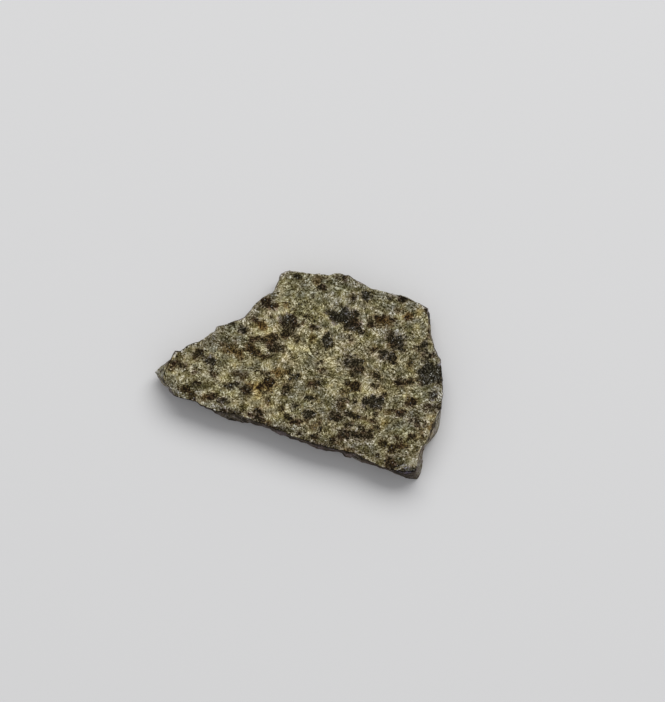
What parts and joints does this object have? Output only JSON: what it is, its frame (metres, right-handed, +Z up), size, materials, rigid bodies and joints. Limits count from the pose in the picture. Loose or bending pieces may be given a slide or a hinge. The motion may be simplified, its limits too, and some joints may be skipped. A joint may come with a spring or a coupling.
{
  "type": "martian shergottite meteorite slice",
  "caption": "Thin sawn slice of a Martian shergottite meteorite with two flat saw-cut faces and a broken stone side all round, lying on its underside.",
  "frame": {"origin": "on the table under the middle of the slice's outline, in the plane of the lower sawn face", "axes": "+X along the slice's length, from its narrow left tip to its bulging right side; +Y towards the short straight upper edge; +Z up through the thickness"},
  "size_m": [0.017, 0.0124, 0.0016],
  "materials": {
    "shergottite": "sawn and lightly rubbed: olive-yellow fine groundmass with pale needles and black-green olivine grains; the broken side is matte and rough"
  },
  "bodies": {
    "root": {"stone_slice": "shergottite"}
  },
  "joints": []
}
